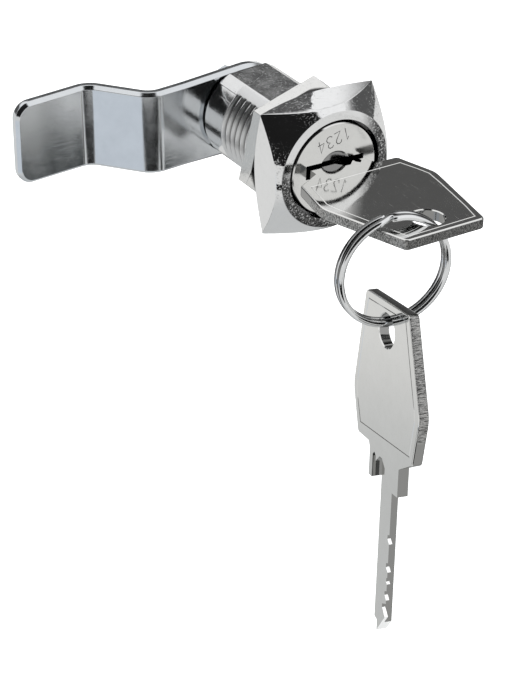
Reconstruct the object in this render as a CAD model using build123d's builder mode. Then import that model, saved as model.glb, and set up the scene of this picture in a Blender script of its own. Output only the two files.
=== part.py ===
from build123d import *
import math
import os

# Cam lock for a mailbox, with one key in the plug and a second key hanging from a split ring.
# Millimetres. The lock's axis is Y, its front faces -Y, +Z is up. The origin is on the axis,
# in the plane of the back of the head, which is where the panel's front face lies.

# Head, cast in one piece with the barrel
head_side = 23.0
head_corner = 0.4
head_thickness = 7.6
front_flat_radius = 10.74
back_flat_radius = 11.3
back_slope = 0.466
mouth_radius = 9.1
flange_seat_depth = 4.6

# Barrel
barrel_radius = 9.0
barrel_length = 20.0
barrel_across_flats = 16.34
bore_radius = 6.55
rear_land = 5.9
rear_recess_depth = 0.5
rear_recess_from = 38.0
rear_recess_to = 50.0
end_chamfer = 0.5

# Plug, its keyway turned a little in the head as the photograph shows it; its tail stands square
rest_turn = -4.0
plug_turn_range = 90.0
plug_clearance = 0.05
flange_clearance = 0.45
flange_height = 4.4
flange_chamfer = 0.35
seat_gap = 0.05
tail_radius = 5.0
tail_across_flats = 7.0
tail_setback = 0.1
stud_radius = 3.0
stud_length = 5.1
body_setback = 1.55

# Key slot in the plug's face and the profiled keyway behind it
slot_left = 5.8
slot_right = 5.95
slot_below = 0.08
slot_above = 0.5
slot_depth = 3.0
slot_corner = 0.1
dish_radius = 3.15
dish_depth = 0.35
key_height = 0.2
keyway_clearance = 0.1
keyway_end_gap = 0.2

# Wafers with their springs
wafer_count = 6
wafer_first = 3.6
wafer_pitch = 2.6
wafer_thickness = 1.0
wafer_slot_clearance = 0.05
wafer_radius = 6.4
wafer_half_height = 2.9
wafer_window_left = 3.8
wafer_window_right = 3.5
wafer_window_half = 1.15
wafer_travel = 0.8
ear_from = 2.0
ear_width = 1.2
ear_top = 4.9
spring_radius = 0.75
spring_wire = 0.25
spring_end_gap = 0.05
spring_seat = -2.3
groove_half_width = 3.3
groove_play = 0.2

# Cam and what holds it on the tail
stack_gap = 0.05
washer_thickness = 1.95
washer_radius = 6.8
tab_radius = 7.5
tab_angle = 30.0
pocket_clearance = 0.1
double_d_clearance = 0.05
cam_thickness = 2.0
cam_head_radius = 8.2
cam_width = 15.7
cam_neck_length = 12.0
cam_bend_start = 19.1
cam_bend_end = 26.3
cam_offset = 9.6
cam_reach = 40.5
cam_bend_radius = 4.0
cam_corner_radius = 3.0
cam_edge = 0.6
lock_washer_thickness = 0.95
lock_washer_radius = 5.0
lock_washer_slit = 1.0
cam_nut_across_flats = 10.0
cam_nut_height = 4.0

# Panel nut on the barrel
nut_across_flats = 22.0
nut_height = 3.4
nut_front = 0.37
nut_vertex_angle = 74.75
nut_clearance = 0.08
nut_chamfer_angle = 30.0

# Key: u runs outward from the shoulder, v to the key's side, both in the key's flat
key_thickness = 2.0
key_seat = 7.57
key_neck_left = 5.35
key_neck_right = 5.85
lug_length = 2.9
lug_right_inner = 4.6
blade_length = 29.6
blade_left = 3.3
blade_right = 3.4
web_left = 1.9
web_right = 0.2
top_flange_thickness = 0.62
lower_layer_thickness = 0.7
cut_first = 11.2
cut_step = 0.35
cut_codes = (2, 0, 2, 1, 2, 4)
cut_flat = 0.7
cut_front_slope = 0.35
cut_back_slope = 1.1
tip_slope = 1.25
lower_tip_setback = 1.0
run_out = 1.9
key_hole_radius = 2.76
key_hole_u = 24.5
key_hole_v = 1.85
key_hole_chamfer = 0.25

# Bow outline, corner by corner: each side runs out to a wide rounded corner and in again
bow_left_rear = (4.6, -10.15)
bow_left_wide = (13.2, -11.9)
bow_left_front = (29.9, -6.1)
bow_right_front = (29.2, 10.3)
bow_right_wide = (11.0, 13.4)
bow_right_rear = (3.0, 10.85)
bow_neck_left_u = 2.2
bow_neck_right_u = 2.9
bow_corner_radius = 1.0
bow_left_wide_radius = 6.0
bow_right_wide_radius = 5.0
bow_rear_radius = 0.8

# Split ring of two turns, and the second key on it
ring_wire = 1.05
ring_outer_radius = 10.33
ring_overlap = 0.05
ring_yaw = -8.9
ring_side = -4.48
ring_drop = 6.96
ring_front = 31.98
hang_gap = 0.55
spare_lean_side = 8.2
spare_lean_back = 7.2
spare_yaw = 80.0

# Working directions and planes
turn = math.radians(rest_turn)
turned_x = (math.cos(turn), 0, math.sin(turn))
turned_z = (-math.sin(turn), 0, math.cos(turn))
top_plane = Plane(origin=(0, 0, 0), x_dir=turned_x, z_dir=turned_z)


def across(y):
    """Plane across the lock's axis at y, square to the head, looked at from the front."""
    return Plane(origin=(0, y, 0), x_dir=(1, 0, 0), z_dir=(0, -1, 0))


def turned(y):
    """The same plane turned with the plug."""
    return Plane(origin=(0, y, 0), x_dir=turned_x, z_dir=(0, -1, 0))


# Derived places along the axis
head_front = -head_thickness
flange_seat = head_front + flange_seat_depth
flange_rear = flange_seat - seat_gap
flange_front = flange_rear - flange_height
plug_radius = bore_radius - plug_clearance
flange_radius = mouth_radius - flange_clearance
thread_end = barrel_length - rear_land
plug_body_end = barrel_length - body_setback
washer_front = plug_body_end + stack_gap
cam_front = washer_front + washer_thickness + stack_gap
cam_back = cam_front + cam_thickness
tail_end = cam_back - tail_setback
lock_washer_front = cam_back + stack_gap
cam_nut_front = lock_washer_front + lock_washer_thickness + stack_gap
stud_end = tail_end + stud_length
wafer_places = [wafer_first + wafer_pitch * k for k in range(wafer_count)]
wafer_slot = wafer_thickness + 2 * wafer_slot_clearance
washer_pocket_front = washer_front - pocket_clearance

# Head and barrel, one casting
head_rise = front_flat_radius - head_front
edge_radius = (back_flat_radius * back_slope + head_rise) / (1 + back_slope)
edge_y = edge_radius - head_rise
pocket_span = tab_angle + plug_turn_range + 2.0
with BuildPart() as housing:
    with BuildSketch(across(head_front)):
        Rectangle(head_side, head_side)
        fillet(vertices(), head_corner)
    extrude(amount=-head_thickness)
    with BuildSketch(Plane.XY):
        with BuildLine():
            Polyline(
                (0, head_front),
                (front_flat_radius, head_front),
                (edge_radius, edge_y),
                (back_flat_radius, 0),
                (0, 0),
                close=True,
            )
        make_face()
    revolve(axis=Axis.Y, mode=Mode.INTERSECT)
    with BuildSketch(across(-0.5)):
        Circle(barrel_radius)
        Rectangle(2 * barrel_radius, barrel_across_flats, mode=Mode.INTERSECT)
    extrude(amount=-(barrel_length + 0.5))
    rim = faces().sort_by(Axis.Y)[-1].edges()
    chamfer(rim, end_chamfer)
    # mouth for the plug's flange, then the bore
    with BuildSketch(across(head_front)):
        Circle(mouth_radius)
    extrude(amount=-flange_seat_depth, mode=Mode.SUBTRACT)
    with BuildSketch(across(head_front)):
        Circle(bore_radius)
    extrude(amount=-(head_thickness + barrel_length), mode=Mode.SUBTRACT)
    # four lengthwise grooves that take the wafers' ends
    groove_front = wafer_places[0] - wafer_slot / 2 - 0.5
    groove_back = wafer_places[-1] + wafer_slot / 2 + 0.65
    groove_reach = wafer_radius + wafer_travel + groove_play
    with BuildSketch(turned(groove_front)):
        Rectangle(2 * groove_reach, 2 * groove_half_width)
        Rectangle(2 * groove_half_width, 2 * groove_reach)
    extrude(amount=-(groove_back - groove_front), mode=Mode.SUBTRACT)
    # pocket at the rear for the stop washer and the travel of its tab
    pocket_depth = barrel_length - washer_pocket_front
    with BuildSketch(across(washer_pocket_front)):
        Circle(washer_radius + pocket_clearance)
    extrude(amount=-pocket_depth, mode=Mode.SUBTRACT)
    with BuildSketch(across(washer_pocket_front)):
        with BuildLine():
            pocket_arc = CenterArc(
                (0, 0), tab_radius + pocket_clearance, 181 + tab_angle / 2 - pocket_span, pocket_span
            )
            Line(pocket_arc @ 0, (0, 0))
            Line(pocket_arc @ 1, (0, 0))
        make_face()
    extrude(amount=-pocket_depth, mode=Mode.SUBTRACT)
    # shallow cored recesses beside the flats, behind the thread
    with BuildSketch(across(thread_end)):
        for side in (0, 90, 180, 270):
            start = side + (rear_recess_from if side in (0, 180) else 90 - rear_recess_to)
            with BuildLine():
                span = rear_recess_to - rear_recess_from
                outer = CenterArc((0, 0), barrel_radius + 0.2, start, span)
                inner = CenterArc((0, 0), barrel_radius - rear_recess_depth, start, span)
                Line(outer @ 0, inner @ 0)
                Line(outer @ 1, inner @ 1)
            make_face()
    extrude(amount=-(barrel_length - thread_end), mode=Mode.SUBTRACT)
housing.part.label = "housing"

# Panel nut
with BuildPart() as panel_nut:
    with BuildSketch(across(nut_front)):
        RegularPolygon(nut_across_flats / 2, 6, major_radius=False, rotation=nut_vertex_angle)
    extrude(amount=-nut_height)
    nut_slope = math.tan(math.radians(nut_chamfer_angle))
    nut_corner = nut_across_flats / math.sqrt(3)
    with BuildSketch(Plane.XY):
        with BuildLine():
            Polyline(
                (0, nut_front),
                (nut_across_flats / 2 - 0.3, nut_front),
                (nut_corner + 0.5, nut_front + (nut_corner + 0.8 - nut_across_flats / 2) * nut_slope),
                (nut_corner + 0.5, nut_front + nut_height),
                (0, nut_front + nut_height),
                close=True,
            )
        make_face()
    revolve(axis=Axis.Y, mode=Mode.INTERSECT)
    with BuildSketch(across(nut_front)):
        Circle(barrel_radius + nut_clearance)
    extrude(amount=-nut_height, mode=Mode.SUBTRACT)
panel_nut.part.label = "panel_nut"

# Plug: flange, body, double-D tail and threaded stud, with the keyway and the wafer slots
top_z = key_height + key_thickness / 2
low_z = key_height - key_thickness / 2
with BuildPart() as plug:
    with BuildSketch(turned(flange_front)):
        Circle(flange_radius)
    extrude(amount=-flange_height)
    chamfer(faces().sort_by(Axis.Y)[0].edges(), flange_chamfer)
    with BuildSketch(turned(flange_rear)):
        Circle(plug_radius)
    extrude(amount=-(plug_body_end - flange_rear))
    with BuildSketch(across(plug_body_end)):
        Circle(tail_radius)
        Rectangle(2 * tail_radius, tail_across_flats, mode=Mode.INTERSECT)
    extrude(amount=-(tail_end - plug_body_end))
    with BuildSketch(across(tail_end)):
        Circle(stud_radius)
    extrude(amount=-stud_length)
    chamfer(faces().sort_by(Axis.Y)[-1].edges(), 0.6)
    # wide slot in the face for the key's neck and lugs
    with BuildSketch(turned(flange_front)):
        with Locations(((slot_right - slot_left) / 2, key_height + (slot_above - slot_below) / 2)):
            Rectangle(slot_left + slot_right, key_thickness + slot_above + slot_below)
            fillet(vertices(), slot_corner)
    extrude(amount=-slot_depth, mode=Mode.SUBTRACT)
    with BuildSketch(turned(flange_front)):
        with Locations(((slot_right - slot_left) / 2, key_height)):
            Circle(dish_radius)
    extrude(amount=-dish_depth, taper=45, mode=Mode.SUBTRACT)
    # profiled keyway: flange on top at the left, web, thin lower layer at the right
    keyway_end = blade_length - key_seat + keyway_end_gap
    c = keyway_clearance
    with BuildSketch(turned(flange_front)):
        with BuildLine():
            Polyline(
                (-blade_left - c, top_z + c),
                (-web_right + c, top_z + c),
                (-web_right + c, low_z + lower_layer_thickness + c),
                (blade_right + c, low_z + lower_layer_thickness + c),
                (blade_right + c, low_z - c),
                (-web_left - c, low_z - c),
                (-web_left - c, top_z - top_flange_thickness - c),
                (-blade_left - c, top_z - top_flange_thickness - c),
                close=True,
            )
        make_face()
    extrude(amount=-(keyway_end - flange_front), mode=Mode.SUBTRACT)
    # slots for the wafers, their ears and their springs
    for y in wafer_places:
        with BuildSketch(turned(y - wafer_slot / 2)):
            with Locations((0, key_height)):
                Rectangle(2.2 * plug_radius, 2 * wafer_half_height + 0.2)
            with Locations((ear_from + (ear_width + wafer_travel + 0.2) / 2, key_height + 4)):
                Rectangle(ear_width + wafer_travel + 0.4, 8)
        extrude(amount=-wafer_slot, mode=Mode.SUBTRACT)
        pocket_length = ear_from - spring_seat
        pocket_width = 2 * spring_radius + 0.2
        pocket_top = ear_top + 0.05
        pocket_bottom = key_height + wafer_half_height
        with BuildSketch(turned(y - pocket_width / 2)):
            with Locations((spring_seat + pocket_length / 2, (pocket_top + pocket_bottom) / 2)):
                Rectangle(pocket_length, pocket_top - pocket_bottom)
        extrude(amount=-pocket_width, mode=Mode.SUBTRACT)
plug.part.label = "plug"

# Wafers: flat discs with rounded ends, a window for the blade and an ear for the spring
wafers = []
for k, y in enumerate(wafer_places):
    with BuildPart() as wafer:
        with BuildSketch(turned(y - wafer_thickness / 2)):
            Circle(wafer_radius)
            with Locations((0, key_height)):
                Rectangle(3 * wafer_radius, 2 * wafer_half_height, mode=Mode.INTERSECT)
            with Locations((ear_from + ear_width / 2, (key_height + ear_top) / 2)):
                Rectangle(ear_width, ear_top - key_height)
            with Locations(((wafer_window_right - wafer_window_left) / 2, key_height)):
                Rectangle(wafer_window_left + wafer_window_right, 2 * wafer_window_half, mode=Mode.SUBTRACT)
        extrude(amount=-wafer_thickness)
    wafer.part.label = f"wafer_{k + 1}"
    wafers.append(wafer.part)

# Wafer springs, drawn as plain sleeves between the pocket's end and the ear
springs = []
spring_height = key_height + wafer_half_height + spring_radius + 0.15
for k, y in enumerate(wafer_places):
    spring_plane = Plane(
        origin=top_plane.from_local_coords((spring_seat + spring_end_gap, y, spring_height)),
        x_dir=(0, 1, 0),
        z_dir=turned_x,
    )
    with BuildPart() as spring:
        with BuildSketch(spring_plane):
            Circle(spring_radius)
            Circle(spring_radius - spring_wire, mode=Mode.SUBTRACT)
        extrude(amount=ear_from - spring_seat - 2 * spring_end_gap)
    spring.part.label = f"wafer_spring_{k + 1}"
    springs.append(spring.part)


def double_d():
    """Hole for the tail, added to the sketch that is open."""
    hole_radius = tail_radius + double_d_clearance
    bar = tail_across_flats + 2 * double_d_clearance
    with BuildSketch(mode=Mode.PRIVATE) as hole:
        Circle(hole_radius)
        Rectangle(2.2 * hole_radius, bar, mode=Mode.INTERSECT)
    add(hole.sketch, mode=Mode.SUBTRACT)


# Stop washer: turns with the plug, its tab runs in the pocket at the barrel's rear
with BuildPart() as stop_washer:
    with BuildSketch(across(washer_front)):
        with BuildLine():
            tab_arc = CenterArc((0, 0), tab_radius, 180 - tab_angle / 2, tab_angle)
            Line(tab_arc @ 0, (0, 0))
            Line(tab_arc @ 1, (0, 0))
        make_face()
        Circle(washer_radius)
        double_d()
    extrude(amount=-washer_thickness)
stop_washer.part.label = "stop_washer"

# Cam: one strip, bent twice, cut to a round head and a straight arm
bend_angle = math.atan2(cam_offset, cam_bend_end - cam_bend_start)
bend_shift = cam_thickness / 2 * math.tan(bend_angle / 2)
mid_y = cam_front + cam_thickness / 2
with BuildPart() as cam:
    with BuildSketch(Plane.XY):
        with BuildLine():
            FilletPolyline(
                (cam_head_radius + 3, mid_y),
                (-cam_bend_start + bend_shift, mid_y),
                (-cam_bend_end + bend_shift, mid_y + cam_offset),
                (-cam_reach - 3, mid_y + cam_offset),
                radius=cam_bend_radius,
            )
        trace(line_width=cam_thickness)
    extrude(amount=cam_width, both=True)
    with BuildSketch(across(cam_front - 1)):
        Circle(cam_head_radius)
        with BuildLine():
            Polyline(
                (0, cam_head_radius),
                (-cam_neck_length, cam_width / 2),
                (-cam_reach, cam_width / 2),
                (-cam_reach, -cam_width / 2),
                (-cam_neck_length, -cam_width / 2),
                (0, -cam_head_radius),
                close=True,
            )
        make_face()
        fillet(vertices().group_by(Axis.X)[0], cam_corner_radius)
        double_d()
    extrude(amount=-(cam_offset + cam_thickness + 2), mode=Mode.INTERSECT)
    rims = faces().filter_by(GeomType.PLANE).sort_by(Axis.Y)
    chamfer(rims[0].outer_wire().edges().sort_by(Axis.X)[1:], cam_edge)
cam.part.label = "cam"

# Spring washer and nut on the stud behind the cam
with BuildPart() as lock_washer:
    with BuildSketch(across(lock_washer_front)):
        Circle(lock_washer_radius)
        Circle(stud_radius + 0.1, mode=Mode.SUBTRACT)
        with Locations((0, -lock_washer_radius)):
            Rectangle(lock_washer_slit, 2 * lock_washer_radius - 2, mode=Mode.SUBTRACT)
    extrude(amount=-lock_washer_thickness)
lock_washer.part.label = "lock_washer"

with BuildPart() as cam_nut:
    with BuildSketch(across(cam_nut_front)):
        RegularPolygon(cam_nut_across_flats / 2, 6, major_radius=False, rotation=30)
    extrude(amount=-cam_nut_height)
    nut_top = cam_nut_across_flats / 2 - 0.15
    nut_edge = cam_nut_across_flats / math.sqrt(3) + 0.2
    drop = (nut_edge - nut_top) * math.tan(math.radians(nut_chamfer_angle))
    with BuildSketch(Plane.XY):
        with BuildLine():
            Polyline(
                (0, cam_nut_front),
                (nut_edge, cam_nut_front),
                (nut_edge, cam_nut_front + cam_nut_height - drop),
                (nut_top, cam_nut_front + cam_nut_height),
                (0, cam_nut_front + cam_nut_height),
                close=True,
            )
        make_face()
    revolve(axis=Axis.Y, mode=Mode.INTERSECT)
    with BuildSketch(across(cam_nut_front)):
        Circle(stud_radius + 0.05)
    extrude(amount=-cam_nut_height, mode=Mode.SUBTRACT)
cam_nut.part.label = "cam_nut"


def cut_key(flat):
    """A key in its plane: local x is u, local y is v, local z is across the thickness."""
    half = key_thickness / 2
    left_floor = -key_neck_left
    with BuildPart() as key_part:
        with BuildSketch(flat.offset(-half)):
            with BuildLine():
                Polyline(
                    (bow_neck_left_u, left_floor),
                    bow_left_rear,
                    bow_left_wide,
                    bow_left_front,
                    bow_right_front,
                    bow_right_wide,
                    bow_right_rear,
                    (bow_neck_right_u, key_neck_right + 0.75),
                    (bow_neck_right_u - 0.9, key_neck_right),
                    (-lug_length, key_neck_right),
                    (-lug_length, lug_right_inner),
                    (run_out - 0.6, lug_right_inner),
                    (run_out, (lug_right_inner + blade_right) / 2),
                    (run_out - 0.6, blade_right),
                    (-blade_length + lower_tip_setback, blade_right),
                    (-blade_length, web_right),
                    (-blade_length, -web_right),
                    (-blade_length + tip_slope * (blade_left - web_right), -blade_left),
                    (-lug_length, -blade_left),
                    (-lug_length, left_floor),
                    close=True,
                )
            make_face()
            for corner, radius in (
                (bow_left_front, bow_corner_radius),
                (bow_right_front, bow_corner_radius),
                (bow_left_wide, bow_left_wide_radius),
                (bow_right_wide, bow_right_wide_radius),
                (bow_left_rear, bow_rear_radius),
                (bow_right_rear, bow_rear_radius),
            ):
                fillet(vertices().sort_by_distance(corner)[0], radius)
            with Locations((key_hole_u, key_hole_v)):
                Circle(key_hole_radius, mode=Mode.SUBTRACT)
        extrude(amount=key_thickness)
        rim_edges = edges().filter_by(GeomType.CIRCLE)
        rim_edges = rim_edges.filter_by(lambda e: abs(e.radius - key_hole_radius) < 0.001)
        chamfer(rim_edges, key_hole_chamfer)
        # wide step milled from above: leaves the thin lower layer beside the web
        with BuildSketch(flat.offset(half)):
            with BuildLine():
                Polyline(
                    (-blade_length - 1, -web_right),
                    (run_out - 1.5, -web_right),
                    (run_out - 0.1, (blade_right - web_right) / 2 - 0.5),
                    (run_out - 0.1, (blade_right - web_right) / 2 + 0.4),
                    (run_out - 1.5, blade_right),
                    (-lug_length, blade_right + 0.01),
                    (-blade_length - 1, blade_right + 0.01),
                    close=True,
                )
            make_face()
        extrude(amount=-(key_thickness - lower_layer_thickness), mode=Mode.SUBTRACT)
        # groove milled from below: leaves the thin top flange that carries the cuts
        with BuildSketch(flat.offset(-half)):
            with BuildLine():
                Polyline(
                    (-blade_length - 1, -web_left),
                    (-lug_length + 0.6, -web_left),
                    (-lug_length + 1.4, -(blade_left + web_left) / 2),
                    (-lug_length + 0.6, -blade_left + 0.05),
                    (-lug_length, -blade_left + 0.05),
                    (-lug_length, -blade_left - 0.5),
                    (-blade_length - 1, -blade_left - 0.5),
                    close=True,
                )
            make_face()
        extrude(amount=key_thickness - top_flange_thickness, mode=Mode.SUBTRACT)
        # cuts in the flange, steep towards the bow and sloping towards the tip
        for k, code in enumerate(cut_codes):
            if code:
                depth = code * cut_step
                middle = -(cut_first + wafer_pitch * k)
                floor = -blade_left + depth
                front = middle + cut_flat / 2
                back = middle - cut_flat / 2
                with BuildSketch(flat.offset(half)):
                    with BuildLine():
                        Polyline(
                            (front, floor),
                            (front + cut_front_slope * (depth + 0.3), -blade_left - 0.3),
                            (back - cut_back_slope * (depth + 0.3), -blade_left - 0.3),
                            (back, floor),
                            close=True,
                        )
                    make_face()
                extrude(amount=-(top_flange_thickness + 0.3), mode=Mode.SUBTRACT)
    return key_part.part


# Key in the lock
key_plane = Plane(
    origin=top_plane.from_local_coords((0, -key_seat, key_height)),
    x_dir=(0, -1, 0),
    z_dir=turned_z,
)
key_solid = cut_key(key_plane)
key_solid.label = "key"

# Split ring: two turns side by side in an upright plane, resting over the key's edge
yaw = math.radians(ring_yaw)
ring_along = (math.cos(yaw), math.sin(yaw), 0)
ring_normal = (math.sin(yaw), -math.cos(yaw), 0)
ring_centre = Vector(top_plane.from_local_coords((ring_side, -ring_front, -ring_drop)))
ring_section = Plane(origin=ring_centre, x_dir=ring_along, z_dir=(0, 0, 1))
wire_radius = ring_wire / 2
turn_offset = wire_radius - ring_overlap / 2
wire_centre_radius = ring_outer_radius - wire_radius
with BuildPart() as key_ring:
    with BuildSketch(ring_section):
        with Locations((wire_centre_radius, turn_offset), (wire_centre_radius, -turn_offset)):
            Circle(wire_radius)
    revolve(axis=Axis(ring_centre, ring_normal))
key_ring.part.label = "key_ring"

# Second key: hangs by the rim of its hole from the lowest point inside the ring
lean_side = math.tan(math.radians(spare_lean_side))
lean_back = math.tan(math.radians(spare_lean_back))
spare_u = Vector(lean_side, lean_back, 1).normalized()
spare_across = Vector(math.cos(math.radians(spare_yaw)), math.sin(math.radians(spare_yaw)), 0)
spare_v = (spare_across - spare_u * spare_across.dot(spare_u)).normalized()
spare_w = spare_u.cross(spare_v)
hang_point = ring_centre - Vector(0, 0, ring_outer_radius - ring_wire - hang_gap)
spare_origin = hang_point - spare_u * (key_hole_u + key_hole_radius) - spare_v * key_hole_v
spare_plane = Plane(origin=spare_origin, x_dir=spare_u, z_dir=spare_w)
spare_solid = cut_key(spare_plane)
spare_solid.label = "spare_key"

os.makedirs("parts", exist_ok=True)
named = [housing.part, panel_nut.part, plug.part, stop_washer.part, cam.part]
named += [lock_washer.part, cam_nut.part, key_solid, key_ring.part, spare_solid]
for piece in named + wafers + springs:
    export_step(piece, f"parts/{piece.label}.step")
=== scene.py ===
import contextlib
import math

import bmesh
import bpy
import numpy as np
from mathutils import Matrix, Vector


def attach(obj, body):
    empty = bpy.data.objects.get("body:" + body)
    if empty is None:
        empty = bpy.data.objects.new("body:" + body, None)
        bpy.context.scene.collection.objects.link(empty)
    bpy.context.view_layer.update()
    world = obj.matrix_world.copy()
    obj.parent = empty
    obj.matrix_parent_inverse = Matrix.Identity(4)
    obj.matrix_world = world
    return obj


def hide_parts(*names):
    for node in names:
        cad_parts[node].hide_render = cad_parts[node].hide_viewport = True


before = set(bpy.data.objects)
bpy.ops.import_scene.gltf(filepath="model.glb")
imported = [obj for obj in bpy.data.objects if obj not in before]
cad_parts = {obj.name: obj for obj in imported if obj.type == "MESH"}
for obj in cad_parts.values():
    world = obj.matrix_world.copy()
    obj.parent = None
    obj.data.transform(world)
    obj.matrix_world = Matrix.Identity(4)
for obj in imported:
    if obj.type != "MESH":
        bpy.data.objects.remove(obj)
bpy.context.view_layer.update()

MM = 0.001
FULL_CIRCLE = 2 * math.pi
QUARTER_CIRCLE = math.pi / 2
UP = Vector((0, 0, 1))

# Sizes shared with the part, in millimetres. Angles are in radians unless a name says degrees.
REST_TURN = math.radians(-4.0)
TURNED_X = Vector((math.cos(REST_TURN), 0, math.sin(REST_TURN)))
TURNED_Z = Vector((-math.sin(REST_TURN), 0, math.cos(REST_TURN)))
AXIS_Y = Vector((0, 1, 0))

HEAD_SIDE = 23.0
HEAD_CORNER = 0.4
HEAD_FRONT = -7.6
FRONT_FLAT_RADIUS = 10.74
BACK_FLAT_RADIUS = 11.3
BACK_SLOPE = 0.466
MOUTH_RADIUS = 9.1
MOUTH_FLOOR = -3.0
BORE_RADIUS = 6.55
REAR_POCKET_RADIUS = 7.0
REAR_POCKET_DEPTH = 1.6
GROOVE_REACH = 7.4
GROOVE_HALF_WIDTH = 3.3
GROOVE_FRONT = 2.55
GROOVE_BACK = 17.8
BARREL_RADIUS = 9.0
BARREL_END = 20.0
BARREL_FLAT = 8.17
THREAD_END = 14.1
REAR_RECESS_DEGREES = (38.0, 50.0)
RECESS_DEPTH = 0.5
END_CHAMFER = 0.5

FACE_Y = -7.45
KEY_SEAT = 7.57
KEY_HEIGHT = 0.2
KEY_THICKNESS = 2.0
KEY_HOLE = (24.5, 1.85)
KEY_HOLE_RADIUS = 2.76

RING_WIRE = 1.05
RING_RADIUS = 10.33
RING_YAW = math.radians(-8.9)
RING_SIDE, RING_DROP, RING_FRONT = -4.48, 6.96, 31.98
RING_CENTRE = RING_SIDE * TURNED_X - RING_DROP * TURNED_Z - RING_FRONT * AXIS_Y
RING_ALONG = Vector((math.cos(RING_YAW), math.sin(RING_YAW), 0))
RING_NORMAL = Vector((math.sin(RING_YAW), -math.cos(RING_YAW), 0))

SPARE_LEAN_SIDE = math.radians(8.2)
SPARE_LEAN_BACK = math.radians(7.2)
SPARE_YAW = math.radians(80.0)
HANG_GAP = 0.55

# Sizes that only the visible pieces have
THREAD_START = 0.35
THREAD_PITCH = 1.5
THREAD_DEPTH = 0.72
THREAD_HALF_SPAN_DEGREES = 51.0
RING_SHOWN_WIRE = 1.22
RING_SHOWN_RADIUS = 10.48
RING_CUT = math.radians(95)
SHOWN_HOLE_RADIUS = 2.98


def photo_camera():
    """Stands where the photograph was taken from, found from the lock's own edges."""
    azimuth, elevation, roll = (math.radians(v) for v in (-32.694, 30.765, -0.949))
    aim_right, aim_up, distance = 0.38796, 1.43528, 26.4247
    head_side_m = HEAD_SIDE * MM
    focal_px, long_side_px, sensor = 3533.3, 688, 36.0
    back = Vector((math.sin(azimuth) * math.cos(elevation), -math.cos(azimuth) * math.cos(elevation),
                   math.sin(elevation)))
    level = Vector((math.cos(azimuth), math.sin(azimuth), 0))
    upward = back.cross(level)
    right = math.cos(roll) * level + math.sin(roll) * upward
    up = -math.sin(roll) * level + math.cos(roll) * upward
    data = bpy.data.cameras.new("photo_camera")
    data.sensor_width = sensor
    data.lens = focal_px * sensor / long_side_px
    data.clip_start, data.clip_end = 0.02, 20
    cam = bpy.data.objects.new("photo_camera", data)
    place = (-aim_right * right - aim_up * up + distance * back) * head_side_m
    turn = Matrix((right, up, back)).transposed().to_4x4()
    cam.matrix_world = Matrix.Translation(place) @ turn
    bpy.context.collection.objects.link(cam)
    bpy.context.scene.camera = cam


class Nodes:
    """Builds a node tree by small steps. Each step gives the socket that carries its result."""

    def __init__(self, tree):
        self.nodes, self.links = tree.nodes, tree.links

    def node(self, kind, values=None, **fields):
        """A new node; its fields are set first, and then each input gets its value or its link."""
        made = self.nodes.new(kind)
        for key, value in fields.items():
            setattr(made, key, value)
        for key, value in (values or {}).items():
            if isinstance(value, bpy.types.NodeSocket):
                self.links.new(value, made.inputs[key])
            else:
                made.inputs[key].default_value = value
        return made

    def math(self, operation, a, b=0.0):
        return self.node("ShaderNodeMath", {0: a, 1: b}, operation=operation).outputs[0]

    def product(self, first, *others):
        for other in others:
            first = self.math("MULTIPLY", first, other)
        return first

    def length(self, a, b):
        """Length of the line from the origin to (a, b)."""
        return self.math("SQRT", self.math("ADD", self.product(a, a), self.product(b, b)))

    def dot(self, a, b):
        return self.node("ShaderNodeVectorMath", {0: a, 1: b}, operation="DOT_PRODUCT").outputs["Value"]

    def rise(self, value, low, high):
        """0 at low and 1 at high, smooth between and level beyond; low may be the larger one."""
        return self.node("ShaderNodeMapRange", {"Value": value, "From Min": low, "From Max": high},
                         interpolation_type="SMOOTHSTEP").outputs[0]

    def ramp(self, value, *stops):
        """Grey tones along a value, straight between the stops."""
        made = self.node("ShaderNodeValToRGB", {"Fac": value})
        while len(made.color_ramp.elements) < len(stops):
            made.color_ramp.elements.new(0.5)
        for element, (place, tone) in zip(made.color_ramp.elements, stops):
            element.position, element.color = place, (tone, tone, tone, 1)
        return made.outputs[0]

    def mix(self, factor, a, b, blend="MIX"):
        """Colour a where the factor is 0, colour b where it is 1."""
        a, b = (v if isinstance(v, bpy.types.NodeSocket) else (*v, 1) for v in (a, b))
        values = {"Factor": factor, 6: a, 7: b}
        return self.node("ShaderNodeMix", values, data_type="RGBA", blend_type=blend).outputs[2]

    def glow(self, **values):
        return self.node("ShaderNodeEmission", values).outputs[0]

    def choose(self, factor, no, yes):
        """One of two shaders."""
        return self.node("ShaderNodeMixShader", {0: factor, 1: no, 2: yes}).outputs[0]


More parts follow.
